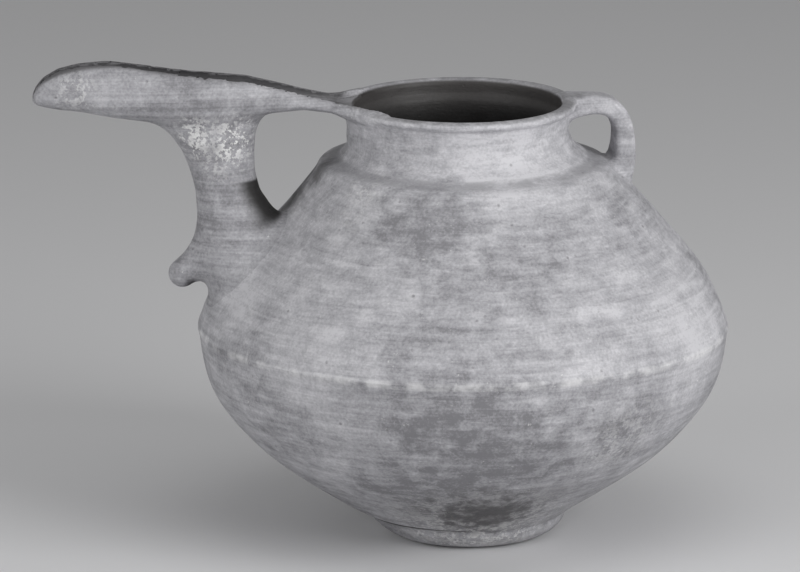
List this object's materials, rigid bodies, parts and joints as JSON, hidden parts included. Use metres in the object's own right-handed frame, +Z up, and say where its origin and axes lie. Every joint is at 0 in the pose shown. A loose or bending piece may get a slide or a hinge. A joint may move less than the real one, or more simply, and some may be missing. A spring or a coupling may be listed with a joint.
{
  "type": "spouted jug",
  "caption": "Hand-built grey-ware jug: wide carinated body on a disc foot, rolled rim, small loop handle and a long open beak spout on a pillar, for pouring",
  "frame": {"origin": "centre of the flat underside of the disc foot, which the jug stands on", "axes": "+Z up through the mouth, -X along the spout towards the tip of the beak, +X towards the loop handle, +Y to the side"},
  "size_m": [0.2876, 0.22, 0.2028],
  "materials": {
    "bowl_clay": "burnished grey clay, matte to satin, stained near the foot",
    "shoulder_clay": "burnished grey clay, matte to satin, with clouds and burnishing strokes",
    "neck_clay": "burnished grey clay, matte to satin",
    "spout_clay": "burnished grey clay with chalky incrustation at the joints",
    "handle_clay": "burnished grey clay, matte to satin"
  },
  "bodies": {
    "root": {"disc_foot": "bowl_clay", "bowl": "bowl_clay", "shoulder": "shoulder_clay", "neck": "neck_clay", "rolled_lip": "neck_clay", "spout_bridge": "spout_clay", "spout_beak": "spout_clay", "spout_pillar": "spout_clay", "pillar_knob": "spout_clay", "loop_handle": "handle_clay"}
  },
  "joints": []
}
